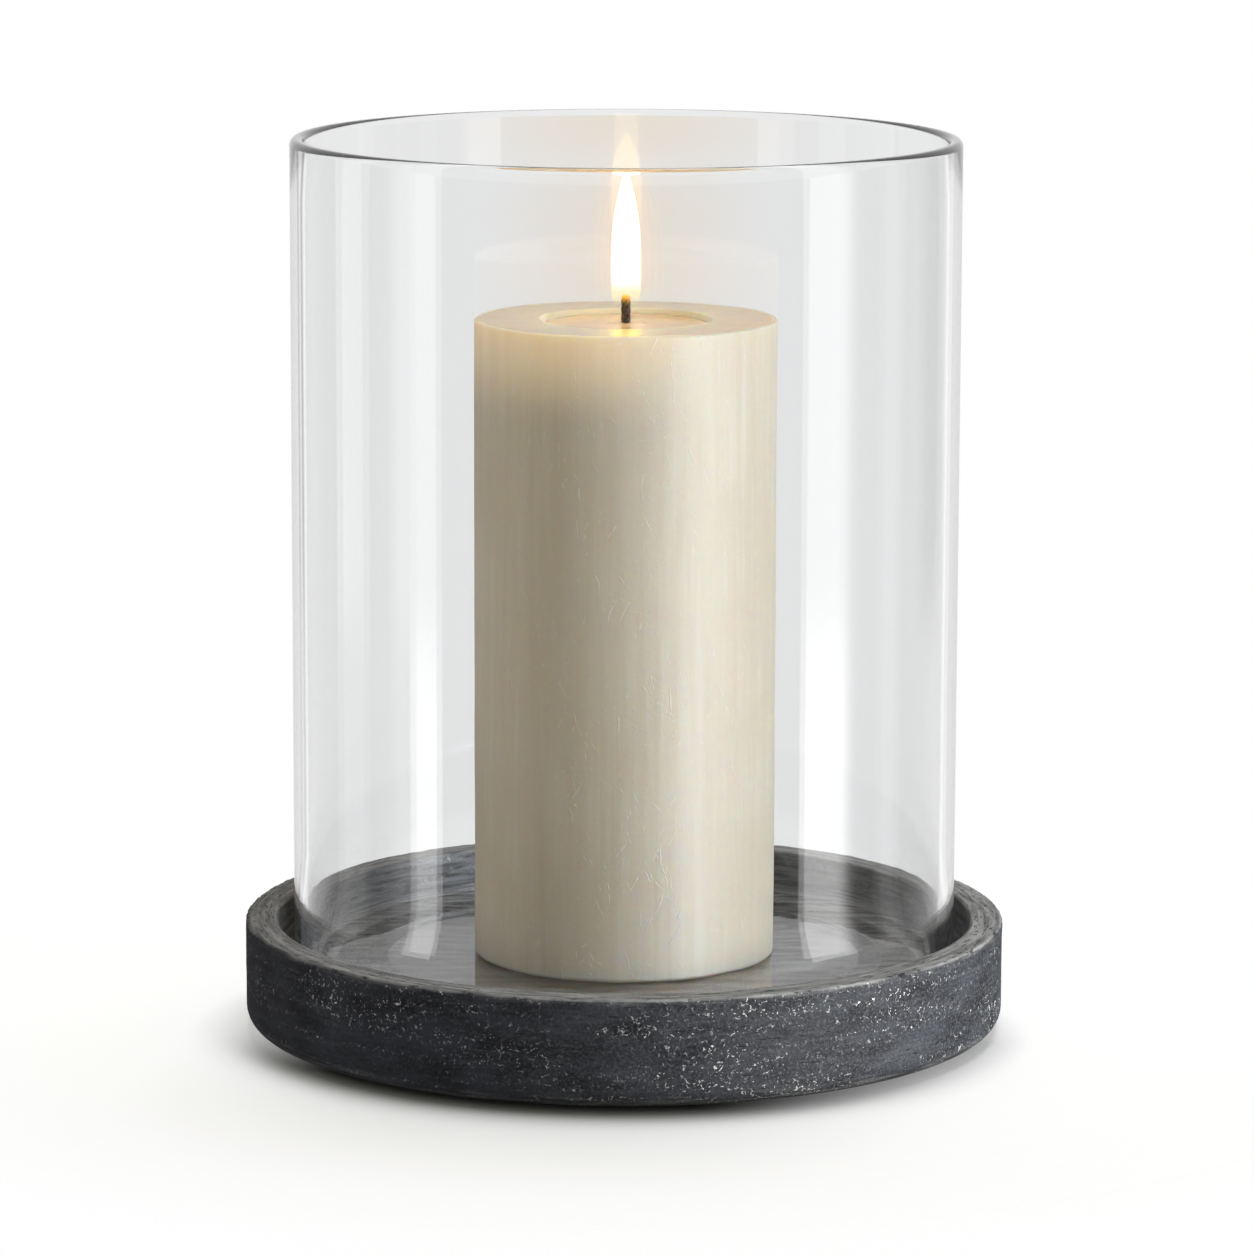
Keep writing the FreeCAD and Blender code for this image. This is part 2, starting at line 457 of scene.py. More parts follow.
# Pillar candle
pillarCandle = dict(steps=360, row=2.4 * mm, browRow=0.9 * mm, wideRow=30 * mm, footRound=1.0 * mm,
                    topRound=0.6 * mm, rim=15 * mm, bowlDepth=2 * mm, bowlSlope=2.0 * mm,
                    bowlLipRound=0.5 * mm, bowlFloorRound=2 * mm, castFit=0.05 * mm, neckWall=0.5 * mm,
                    neckRound=0.8 * mm, tabThickness=0.4 * mm, sag=0.3 * mm, sagGrain=30 * mm,
                    dent=0.16 * mm, dentGrain=4 * mm, dentReach=2.5 * mm,
                    cloudTones=((0.78, 0.715, 0.58, 1), (0.84, 0.79, 0.68, 1)),
                    paleTone=(0.89, 0.86, 0.785, 1), deepTone=(0.71, 0.64, 0.50, 1),
                    threadTone=(0.92, 0.90, 0.85, 1), speckTone=(0.95, 0.94, 0.91, 1),
                    scratchTone=(1.0, 0.99, 0.96, 1), flameLitTopTone=(0.93, 0.73, 0.50, 1),
                    cloudScale=38, pourScale=330, threadScale=1300, speckScale=1000,
                    strokes=((6, 720, 0.0), (-34, 800, 5.0), (28, 860, 9.0)),  # lean in degrees, scale, seed
                    strokeWarp=130, strokeReach=4 * mm, strokeSlim=0.035, strokeDrifts=55,
                    scatter=6 * mm, scatterTone=(1.0, 0.62, 0.32), relief=0.3 * mm,
                    glowTone=(1.0, 0.71, 0.36, 1), glowDepth=22 * mm, glowRise=(-32 * mm, -14 * mm),
                    glowFall=(-5 * mm, 20 * mm), glowLeft=0.27, glowMost=0.36, glowRight=0.02, glowBowl=0.04)


def waxScratches(tree, place, size):  # fine pale strokes, in drifts
    lines = 0.0
    for lean, grain, seed in size["strokes"]:
        turn = addNode(tree, "Mapping")
        feed(tree, turn.inputs["Vector"], warped(tree, place, size["strokeWarp"], size["strokeReach"]))
        feed(tree, turn.inputs["Rotation"], (0, math.radians(lean), 0))
        slim = addNode(tree, "Mapping")
        feed(tree, slim.inputs["Vector"], turn.outputs["Vector"])
        feed(tree, slim.inputs["Scale"], (1, 1, size["strokeSlim"]))
        stroke = cells(tree, slim.outputs["Vector"], grain)
        line = fade(tree, stroke.outputs["Distance"], 0.16, 0.06, 0, 0.6)
        gate = fade(tree, noise(tree, place, size["strokeDrifts"], 2, seed), 0.42, 0.55)
        lines = calc(tree, "MAXIMUM", calc(tree, "MULTIPLY", line, gate), lines)
    return lines


def paintedFlameGlow(tree, parts, radius, size):  # painted glow: emission stands in for the flame's light showing through the wax near the top and in the bowl, strongest a little towards -X and faint towards +X
    height = parts.outputs["Z"]
    top = candleHigh.z
    bowl = candleHigh.x - size["rim"]
    side = calc(tree, "MULTIPLY", fade(tree, height, top - size["glowDepth"], top - mm),
                fade(tree, radius, candleHigh.x - 1.4 * mm, candleHigh.x - 0.4 * mm))
    across = parts.outputs["X"]
    rise = fade(tree, across, *size["glowRise"], size["glowLeft"], size["glowMost"])
    fall = fade(tree, across, *size["glowFall"], size["glowMost"], size["glowRight"])
    strength = calc(tree, "MINIMUM", rise, fall)
    side = calc(tree, "MULTIPLY", side, strength)
    inside = calc(tree, "MULTIPLY", fade(tree, height, top - 0.05 * mm, top - 0.4 * mm),
                  fade(tree, radius, bowl + 0.5 * mm, bowl, 0, size["glowBowl"]))
    return calc(tree, "MAXIMUM", side, inside)


def ivoryWax(size):
    material, tree, shader = startMaterial("ivoryWax")
    place = objectPlace(tree)
    parts, radius = splitPlace(tree)
    clouds = noise(tree, place, size["cloudScale"], 3)
    pours = noise(tree, objectPlace(tree, (1, 1, 0.04)), size["pourScale"], 3)  # upright, from the mould
    threads = noise(tree, objectPlace(tree, (1, 1, 0.03)), size["threadScale"], 2)
    specks = noise(tree, place, size["speckScale"], 2)
    scuffed = waxScratches(tree, place, size)
    flank = fade(tree, radius, candleHigh.x - 1.4 * mm, candleHigh.x - 0.6 * mm)
    drifts = calc(tree, "MULTIPLY", flank, fade(tree, clouds, 0.40, 0.60, 0.35, 1.15))
    pale = calc(tree, "MULTIPLY", fade(tree, pours, 0.46, 0.70, 0, 0.5), drifts)
    deep = calc(tree, "MULTIPLY", fade(tree, pours, 0.46, 0.26, 0, 0.36), drifts)
    thread = calc(tree, "MULTIPLY", fade(tree, threads, 0.56, 0.7, 0, 0.2), flank)
    tone = mixColour(tree, clouds, *size["cloudTones"])
    tone = mixColour(tree, pale, tone, size["paleTone"])
    tone = mixColour(tree, deep, tone, size["deepTone"])
    tone = mixColour(tree, thread, tone, size["threadTone"])
    tone = mixColour(tree, fade(tree, specks, 0.68, 0.74, 0, 0.6), tone, size["speckTone"])
    tone = mixColour(tree, scuffed, tone, size["scratchTone"])
    # painted flame light: the top and the bowl are painted in a warmer tone
    tone = mixColour(tree, fade(tree, flank, 0, 1, 0.7, 0), tone, size["flameLitTopTone"])
    feed(tree, shader.inputs["Base Color"], tone)
    gloss = calc(tree, "ADD", fade(tree, clouds, 0.3, 0.7, 0.22, 0.27), calc(tree, "MULTIPLY", flank, 0.3))
    feed(tree, shader.inputs["Roughness"], gloss)
    feed(tree, shader.inputs["Subsurface Weight"], fade(tree, scuffed, 0, 1, 1, 0.3))
    shader.inputs["Subsurface Radius"].default_value = size["scatterTone"]
    shader.inputs["Subsurface Scale"].default_value = size["scatter"]
    shader.inputs["Emission Color"].default_value = size["glowTone"]
    feed(tree, shader.inputs["Emission Strength"], paintedFlameGlow(tree, parts, radius, size))
    relief = calc(tree, "ADD", calc(tree, "MULTIPLY", pours, 0.5), calc(tree, "MULTIPLY", threads, 0.12))
    relief = calc(tree, "MULTIPLY", relief, flank)
    relief = calc(tree, "ADD", relief, calc(tree, "MULTIPLY", scuffed, 4.0))
    relief = calc(tree, "ADD", relief, calc(tree, "MULTIPLY", fade(tree, specks, 0.55, 0.75), 0.25))
    bumpFrom(tree, shader, relief, 0.3, size["relief"])
    return material


def turnCandle(size):
    side = candleHigh.x
    bowl = side - size["rim"]
    bowlFloor = candleHigh.z - size["bowlDepth"]
    wickBore = wickHigh.x + size["castFit"]
    neckHole = wickBore + size["neckWall"] + size["castFit"]
    pocket = tabHigh.x + size["castFit"]
    pocketTop = tabLow.z + size["tabThickness"] + size["castFit"]
    neckTop = tabHigh.z + size["castFit"]
    piece = drawProfile("candle_wax", [
        (wickBore, bowlFloor, 0),
        (wickBore, neckTop, 0),
        (neckHole, neckTop, 0),
        (neckHole, pocketTop, size["neckRound"] - size["castFit"]),
        (pocket, pocketTop, 0),
        (pocket, candleLow.z, 0),
        (side, candleLow.z, size["footRound"]),
        (side, candleHigh.z, size["topRound"]),
        (bowl, candleHigh.z, size["bowlLipRound"]),
        (bowl - size["bowlSlope"], bowlFloor, size["bowlFloorRound"]),
        (wickBore, bowlFloor, 0),
    ])
    splitLongEdges(piece, size["browRow"], lambda middle: middle.x > bowl - 2 * size["bowlSlope"]
                   and middle.z > candleHigh.z - size["dentReach"])
    splitLongEdges(piece, size["row"], lambda middle: middle.x > bowl)
    splitLongEdges(piece, size["wideRow"])
    turnProfile(piece, size["steps"])
    groupPoints(piece, "skin", lambda point: point.z > candleLow.z + 2 * size["footRound"]
                and point.xy.length > bowl - size["bowlSlope"])
    groupPoints(piece, "brow", lambda point: point.z > candleHigh.z - size["dentReach"]
                and point.xy.length > bowl - size["bowlSlope"])
    roughen(piece, "waxSag", size["sagGrain"], size["sag"], "skin")
    roughen(piece, "waxDents", size["dentGrain"], size["dent"], "brow")
    return piece


waxPiece = finishPiece(turnCandle(pillarCandle), ivoryWax(pillarCandle), "candle", "ivory_wax",
                       "pillar_candle")


# Melted wax round the wick
meltedWax = dict(steps=256, row=1.0 * mm, below=1.4 * mm, bowlRadius=18.6 * mm, climb=0.5 * mm,
                 climbReach=3.6 * mm, edgeReach=1.6 * mm, edgeClimb=0.25 * mm, sunk=0.45 * mm,
                 depth=0.65 * mm, wickShare=0.8, tones=((0.45, 0.36, 0.235, 1), (0.50, 0.415, 0.31, 1)),
                 rippleScale=200, filmScale=90, relief=0.2 * mm)


def liquidWax(size):
    material, tree, shader = startMaterial("liquidWax")
    place = objectPlace(tree)
    ripple = noise(tree, place, size["rippleScale"], 1)
    film = noise(tree, place, size["filmScale"], 2)
    tone = mixColour(tree, film, *size["tones"])
    feed(tree, shader.inputs["Base Color"], tone)
    feed(tree, shader.inputs["Roughness"], fade(tree, film, 0.35, 0.65, 0.08, 0.16))
    bumpFrom(tree, shader, ripple, 0.1, size["relief"])
    return material


def turnPool(size):
    level = candleHigh.z - size["below"]
    wickSide = wickHigh.x * size["wickShare"]  # the pool runs in among the strands
    edge = size["bowlRadius"]
    piece = drawProfile("melted_wax", [
        (wickSide, level - size["depth"], 0),
        (wickSide, level + size["climb"], 0),
        (wickHigh.x + size["climbReach"], level, size["climbReach"] / 2),
        (edge - size["edgeReach"], level, size["edgeReach"] / 2),
        (edge + size["sunk"], level + size["edgeClimb"], 0),
        (edge + size["sunk"] - size["depth"], level - size["depth"], 0),
        (wickSide, level - size["depth"], 0),
    ])
    splitLongEdges(piece, size["row"])
    turnProfile(piece, size["steps"])
    return piece


finishPiece(turnPool(meltedWax), liquidWax(meltedWax), "candle", "ivory_wax")


# Twisted cotton wick
cottonWick = dict(strands=6, sides=12, strandRadius=0.42 * mm, turns=14, stepsPerTurn=40,
                  char=0.08 * mm, charGrain=0.9 * mm, tipRound=1.0 * mm,
                  tipSteps=((0.7, 0.9), (0.45, 0.82), (0.2, 0.7)),  # shares of its height and width
                  sootTones=((0.015, 0.011, 0.007, 1), (0.09, 0.064, 0.038, 1)),
                  cottonTone=(0.72, 0.66, 0.52, 1), tipTone=(0.16, 0.07, 0.02, 1), tipReach=3 * mm,
                  emberTone=(1.0, 0.42, 0.03, 1), ember=0.85, charScale=1600, relief=0.1 * mm)


def charredCotton(size):
    material, tree, shader = startMaterial("charredCotton")
    place = objectPlace(tree)
    height = splitPlace(tree)[0].outputs["Z"]
    poolTop = candleHigh.z - meltedWax["below"]
    char = noise(tree, place, size["charScale"], 3)
    soot = mixColour(tree, char, *size["sootTones"])
    tone = mixColour(tree, fade(tree, height, poolTop - mm, poolTop), size["cottonTone"], soot)
    tip = fade(tree, height, wickHigh.z - size["tipReach"], wickHigh.z, 0, 0.8)
    tone = mixColour(tree, tip, tone, size["tipTone"])
    feed(tree, shader.inputs["Base Color"], tone)
    feed(tree, shader.inputs["Roughness"], fade(tree, char, 0.35, 0.65, 0.22, 0.6))
    shader.inputs["Emission Color"].default_value = size["emberTone"]
    ember = fade(tree, height, wickHigh.z - 2.2 * mm, wickHigh.z - 0.2 * mm, 0, size["ember"])
    feed(tree, shader.inputs["Emission Strength"], ember)
    bumpFrom(tree, shader, char, 0.5, size["relief"])
    return material


def twistWick(size):
    bpy.ops.object.select_all(action="DESELECT")
    bpy.ops.mesh.primitive_circle_add(vertices=size["sides"], radius=size["strandRadius"],
                                      location=(wickHigh.x - size["strandRadius"], 0, wickLow.z))
    piece = bpy.context.object
    piece.name = piece.data.name = "wick_cotton"
    bpy.ops.object.transform_apply(location=True)
    bpy.ops.object.mode_set(mode="EDIT")
    bpy.ops.mesh.select_all(action="SELECT")
    for strand in range(1, size["strands"]):
        bpy.ops.mesh.duplicate()
        bpy.ops.transform.rotate(value=fullTurn / size["strands"], orient_axis="Z", center_override=(0, 0, 0))
    screwUp(piece, size["stepsPerTurn"], size["turns"], (wickHigh.z - wickLow.z) / size["turns"])
    bpy.ops.mesh.fill_holes(sides=0)
    for drop, share in size["tipSteps"]:  # the tip burnt round
        pickPoints(piece, lambda point: point.z > wickHigh.z - drop * size["tipRound"])
        bpy.ops.transform.resize(value=(share, share, 1), center_override=(0, 0, wickHigh.z))
    faceOutwards()
    groupPoints(piece, "burnt", lambda point: point.z > candleHigh.z - meltedWax["below"])
    roughen(piece, "wickChar", size["charGrain"], size["char"], "burnt")
    return piece


finishPiece(twistWick(cottonWick), charredCotton(cottonWick), "candle", "cotton_wick", "wick")


# Wick sustainer, kept from the frame
tinPlate = dict(tones=((0.60, 0.60, 0.61, 1), (0.74, 0.74, 0.75, 1)), spangle=500, grain=900)


def tinnedSteel(size):
    material, tree, shader = startMaterial("tinnedSteel")
    place = objectPlace(tree)
    spangle = cells(tree, place, size["spangle"])
    tone = mixColour(tree, spangle.outputs["Color"], *size["tones"])
    feed(tree, shader.inputs["Base Color"], tone)
    shader.inputs["Metallic"].default_value = 1.0
    brushed = noise(tree, place, size["grain"], 3)
    feed(tree, shader.inputs["Roughness"], fade(tree, brushed, 0.3, 0.7, 0.24, 0.42))
    return material


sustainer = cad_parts["wick_sustainer"]
sustainer.data.materials.clear()
sustainer.data.materials.append(tinnedSteel(tinPlate))


# Felt pads under the tray
feltPad = dict(count=4, sides=96, rings=6, edgeRound=0.3 * mm, fuzz=0.12 * mm, fuzzGrain=0.7 * mm,
               tones=((0.008, 0.008, 0.009, 1), (0.045, 0.045, 0.048, 1)), sheen=0.3,
               fibreScale=2600, fibreWarp=700, fibreReach=4 * mm, relief=0.2 * mm)


def blackFelt(size):
    material, tree, shader = startMaterial("blackFelt")
    place = objectPlace(tree)
    bent = warped(tree, place, size["fibreWarp"], size["fibreReach"])
    fibres = noise(tree, bent, size["fibreScale"], 3)
    tone = mixColour(tree, fibres, *size["tones"])
    feed(tree, shader.inputs["Base Color"], tone)
    feed(tree, shader.inputs["Roughness"], fade(tree, fibres, 0.3, 0.7, 0.8, 0.95))
    shader.inputs["Sheen Weight"].default_value = size["sheen"]
    bumpFrom(tree, shader, fibres, 0.8, size["relief"])
    return material


def cutPad(size):
    low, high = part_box("felt_pad_1")
    radius = (high.x - low.x) / 2
    piece = drawProfile("felt_pad", [
        (0, low.z, 0),
        (radius, low.z, size["edgeRound"]),
        (radius, high.z, 0),
        (0, high.z, 0),
    ], 4)
    splitLongEdges(piece, radius / size["rings"])
    turnProfile(piece, size["sides"])
    groupPoints(piece, "nap", lambda point: low.z < point.z < high.z)
    roughen(piece, "feltFuzz", size["fuzzGrain"], size["fuzz"], "nap")
    return piece


def placePads(size):
    felt = blackFelt(size)
    first = cutPad(size)
    for count in range(1, size["count"] + 1):
        low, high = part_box(f"felt_pad_{count}")
        bpy.ops.object.select_all(action="DESELECT")
        first.select_set(True)
        bpy.context.view_layer.objects.active = first
        bpy.ops.object.duplicate()
        pad = bpy.context.object
        pad.name = pad.data.name = f"pad_felt_{count}"
        pad.location = ((low.x + high.x) / 2, (low.y + high.y) / 2, 0)
        bpy.ops.object.transform_apply(location=True)
        finishPiece(pad, felt, "tray", "black_felt", f"felt_pad_{count}")
    bpy.data.objects.remove(first)


placePads(feltPad)


# Flame
candleFlame = dict(steps=64, rows=36, below=5.6 * mm, above=27.4 * mm, halfWidth=3.75 * mm, widest=0.38,
                   footNarrow=0.65, footPower=4, tipPower=2.7, fullAt=2.3 * mm, backClear=2.8 * mm,
                   footGlow=1.2, footColour=(1.0, 0.86, 0.56, 1), mirrorColour=(1.0, 0.72, 0.10, 1),
                   mirrorGain=1.33)
flameShells = [
    dict(name="flame_core", width=0.92, top=0.985, clearTo=0.4 * mm, glow=3.6, cover=1.0,
         colour=(1.0, 0.74, 0.58, 1)),
    dict(name="flame_mantle", width=0.965, top=0.995, clearTo=1.2 * mm, glow=1.5, cover=0.22,
         colour=(1.0, 0.72, 0.36, 1)),
    dict(name="flame_veil", width=1.0, top=1.0, clearTo=1.2 * mm, glow=1.15, cover=0.12,
         colour=(1.0, 0.68, 0.32, 1)),
]
glowSizes = ((1.35, 1.04), (1.75, 1.08), (2.15, 1.12))  # width and top of each faint shell of painted halo round the flame
flameShells += [
    dict(name=f"flame_glow_{count}", width=width, top=top, clearTo=0, glow=1.45, cover=0.035,
         colour=(1.0, 0.65, 0.47, 1))
    for count, (width, top) in enumerate(glowSizes, 1)
]


def flameWidth(share, size):  # of the half width, from the foot at 0 to the tip at 1
    widest = size["widest"]
    if share < widest:
        return 1 - size["footNarrow"] * ((widest - share) / widest) ** size["footPower"]
    return 1 - ((share - widest) / (1 - widest)) ** size["tipPower"]


def burning(shell, size):
    material, tree, shader = startMaterial(shell["name"] + "_light")
    height = splitPlace(tree)[0].outputs["Z"]
    clearTo = wickHigh.z - shell["clearTo"]
    fullAt = wickHigh.z + size["fullAt"]
    brightest = fullAt + size["fullAt"]
    colour = mixColour(tree, fade(tree, height, wickHigh.z, fullAt), size["footColour"], shell["colour"])
    strength = fade(tree, height, wickHigh.z, brightest, size["footGlow"], shell["glow"])
    glow = addNode(tree, "Emission")
    feed(tree, glow.inputs["Color"], colour)
    feed(tree, glow.inputs["Strength"], strength)
    # painted reflection: in reflections the flame shows a yellower colour and strength of its own
    mirrored = addNode(tree, "Emission")
    mirrored.inputs["Color"].default_value = size["mirrorColour"]
    mirrored.inputs["Strength"].default_value = size["mirrorGain"] * shell["glow"]
    seen = addNode(tree, "MixShader")
    feed(tree, seen.inputs["Fac"], addNode(tree, "LightPath").outputs["Is Reflection Ray"])
    feed(tree, seen.inputs[1], glow.outputs[0])
    feed(tree, seen.inputs[2], mirrored.outputs[0])
    clear = addNode(tree, "BsdfTransparent")
    behind = addNode(tree, "NewGeometry").outputs["Backfacing"]  # the foot glows lower down behind the wick
    back = fade(tree, height, wickHigh.z - size["backClear"], wickHigh.z, 0, shell["cover"])
    cover = fade(tree, height, clearTo, fullAt, 0, shell["cover"])
    cover = calc(tree, "MAXIMUM", cover, calc(tree, "MULTIPLY", back, behind))
    mix = addNode(tree, "MixShader")
    feed(tree, mix.inputs["Fac"], cover)
    feed(tree, mix.inputs[1], clear.outputs[0])
    feed(tree, mix.inputs[2], seen.outputs[0])
    feed(tree, outputOf(tree), mix.outputs[0])
    tree.nodes.remove(shader)
    return material


def blowFlame(size, shell):
    foot = wickHigh.z - size["below"]
    tall = (size["below"] + size["above"]) * shell["top"]
    corners = [(0, foot, 0)]
    for row in range(size["rows"] + 1):
        share = row / size["rows"]
        radius = size["halfWidth"] * shell["width"] * flameWidth(share, size)
        corners.append((radius, foot + tall * share, 0))
    piece = drawProfile(shell["name"], corners)
    turnProfile(piece, size["steps"])
    piece.visible_diffuse = False
    piece.visible_shadow = False
    finishPiece(piece, burning(shell, size), "candle", "")
    return piece


flamePieces = [blowFlame(candleFlame, shell) for shell in flameShells]
scene.cycles.transparent_max_bounces = 64  # the flame's shells, one behind another


# Studio: camera, floor, reflection cards and lamps
photoCamera = dict(place=(0.00048, -1.356, 0.3302), pitch=math.radians(80.124), roll=0.003,
                   lens=169.86, sensor=36)


def placeCamera(view):
    turn = Matrix.Rotation(view["pitch"], 3, "X") @ Matrix.Rotation(view["roll"], 3, "Z")
    bpy.ops.object.camera_add(location=view["place"], rotation=turn.to_euler())
    scene.camera = bpy.context.object
    scene.camera.data.lens = view["lens"]
    scene.camera.data.sensor_width = view["sensor"]


placeCamera(photoCamera)

whiteRoom = dict(ambient=0.27, oneWall=0.895, ambientColour=(1.0, 0.885, 0.64, 1), floorRadius=0.5,
                 floorSides=96, floorFade=(0.12, 0.22), floorColour=(0.63, 0.70, 0.84, 1), floorLift=0.46,
                 contactReach=0.012, contact=(0.45, 0.98), paintedShadowDepth=(0.0, 0.75),
                 paintedShadowAcross=(0.015, 0.085), paintedShadowAlong=(-0.05, -0.006),
                 paintedFlameWarmth=(1.0, 0.924, 0.815, 1), warmAbove=8 * mm, warmReach=40 * mm,
                 warmWide=1.5, warmTall=1.15)


def seenDirectly(tree):  # rays that show the backdrop: camera, reflections and through glass
    path = addNode(tree, "LightPath")
    seen = calc(tree, "MAXIMUM", path.outputs["Is Camera Ray"], path.outputs["Is Glossy Ray"])
    seen = calc(tree, "MAXIMUM", seen, path.outputs["Is Transmission Ray"])
    return calc(tree, "MULTIPLY", seen, calc(tree, "LESS_THAN", path.outputs["Diffuse Depth"], 0.5))


def behindFlame(tree, room):  # painted flame light: the warm patch of backdrop, seen through the glass, behind the flame
    aim = Vector((0, 0, wickHigh.z + room["warmAbove"])) - Vector(photoCamera["place"])
    aside = addNode(tree, "VectorMath", operation="SUBTRACT")
    feed(tree, aside.inputs[0], addNode(tree, "TexCoord").outputs["Generated"])
    feed(tree, aside.inputs[1], aim.normalized())
    shrunk = addNode(tree, "VectorMath", operation="MULTIPLY")
    feed(tree, shrunk.inputs[0], aside.outputs[0])
    feed(tree, shrunk.inputs[1], (1 / room["warmWide"], 1, 1 / room["warmTall"]))
    length = addNode(tree, "VectorMath", operation="LENGTH")
    feed(tree, length.inputs[0], shrunk.outputs[0])
    near = fade(tree, length.outputs["Value"], room["warmReach"] / aim.length, 0)
    depth = addNode(tree, "LightPath").outputs["Transmission Depth"]
    return calc(tree, "MULTIPLY", near, calc(tree, "GREATER_THAN", depth, 1.5))


def lightRoom(room):
    world = bpy.data.worlds.new("whiteRoom")
    scene.world = world
    world.use_nodes = True
    tree = world.node_tree
    backdrop = tree.nodes["Background"]
    seen = seenDirectly(tree)
    whiteWithFlameLight = mixColour(tree, behindFlame(tree, room), (1, 1, 1, 1), room["paintedFlameWarmth"])
    feed(tree, backdrop.inputs["Color"], mixColour(tree, seen, room["ambientColour"], whiteWithFlameLight))
    # painted shade: the backdrop is a little darker where it is seen through one wall of the glass
    depth = addNode(tree, "LightPath").outputs["Transmission Depth"]
    oneWall = calc(tree, "COMPARE", depth, 2.0)
    shown = fade(tree, oneWall, 0, 1, 1, room["oneWall"])
    feed(tree, backdrop.inputs["Strength"], fade(tree, seen, 0, 1, room["ambient"], shown))


def layFloor(room):
    bpy.ops.object.select_all(action="DESELECT")
    bpy.ops.mesh.primitive_circle_add(vertices=room["floorSides"], radius=room["floorRadius"],
                                      fill_type="NGON", location=(0, 0, 0))
    floor = bpy.context.object
    floor.name = "floor"
    material, tree, shader = startMaterial("paleFloor")
    parts, radius = splitPlace(tree)
    matte = addNode(tree, "BsdfDiffuse")
    matte.inputs["Color"].default_value = room["floorColour"]
    openness = addNode(tree, "AmbientOcclusion")
    openness.inputs["Distance"].default_value = room["contactReach"]
    deepest, palest = room["paintedShadowDepth"]
    # painted shadow: near the part the floor's lift drops as a contact shadow, deepest towards the front left
    shadowedLift = calc(tree, "MAXIMUM", fade(tree, parts.outputs["X"], *room["paintedShadowAcross"], deepest, palest),
                 fade(tree, parts.outputs["Y"], *room["paintedShadowAlong"], deepest, 1))
    shadowedLift = calc(tree, "MULTIPLY", shadowedLift, room["floorLift"])
    lifted = fade(tree, openness.outputs["AO"], *room["contact"], shadowedLift, room["floorLift"])
    lift = addNode(tree, "Emission")
    feed(tree, lift.inputs["Strength"], calc(tree, "MULTIPLY", seenDirectly(tree), lifted))
    both = addNode(tree, "AddShader")
    feed(tree, both.inputs[0], matte.outputs[0])
    feed(tree, both.inputs[1], lift.outputs[0])
    clear = addNode(tree, "BsdfTransparent")
    edge = fade(tree, radius, *room["floorFade"], 1, 0)
    above = calc(tree, "SUBTRACT", 1.0, addNode(tree, "NewGeometry").outputs["Backfacing"])
    mix = addNode(tree, "MixShader")
    feed(tree, mix.inputs["Fac"], calc(tree, "MULTIPLY", edge, above))
    feed(tree, mix.inputs[1], clear.outputs[0])
    feed(tree, mix.inputs[2], both.outputs[0])
    feed(tree, outputOf(tree), mix.outputs[0])
    tree.nodes.remove(shader)
    floor.data.materials.append(material)
    return floor


lightRoom(whiteRoom)
paleFloor = layFloor(whiteRoom)

# Cards seen only in reflections: bearings in degrees to the right of the camera's line
cardRing = dict(radius=0.24, inner=0.087, lift=0.2 * mm, height=0.6, sharpHeight=0.196, sides=128,
                base=0.10, surround=0.85, surroundReach=(84, 126), farBase=0.3, farShare=0.65,
                farBack=0.5, farBackReach=(135, 160), rough=0.8, roughReach=(140, 168), lowReach=(0.10, 0.04))
cards = [  # low is the share of the glow near the floor
    dict(start=54.3, end=70.5, softStart=0.5, softEnd=4, glow=2.1, low=1.8),
    dict(start=84.5, end=94, softStart=0.5, softEnd=0.8, glow=0.4, low=1),
    dict(start=107, end=121, softStart=3, softEnd=1, glow=-0.33, low=0),
    dict(start=127.5, end=131.5, softStart=0.5, softEnd=0.5, glow=0.32, low=1),
    dict(start=-66.5, end=-56.8, softStart=0.8, softEnd=0.3, glow=1.6, low=1.9),
    dict(start=-74, end=-66.5, softStart=1.5, softEnd=0.8, glow=0.9, low=0.5),
    dict(start=-100.6, end=-86.4, softStart=0.4, softEnd=0.3, glow=0.8, low=0.5),
    dict(start=-130.8, end=-128.5, softStart=0.4, softEnd=0.4, glow=0.25, low=1),
    dict(start=-134.5, end=-131.9, softStart=0.4, softEnd=0.4, glow=-0.5, low=0.5),
]


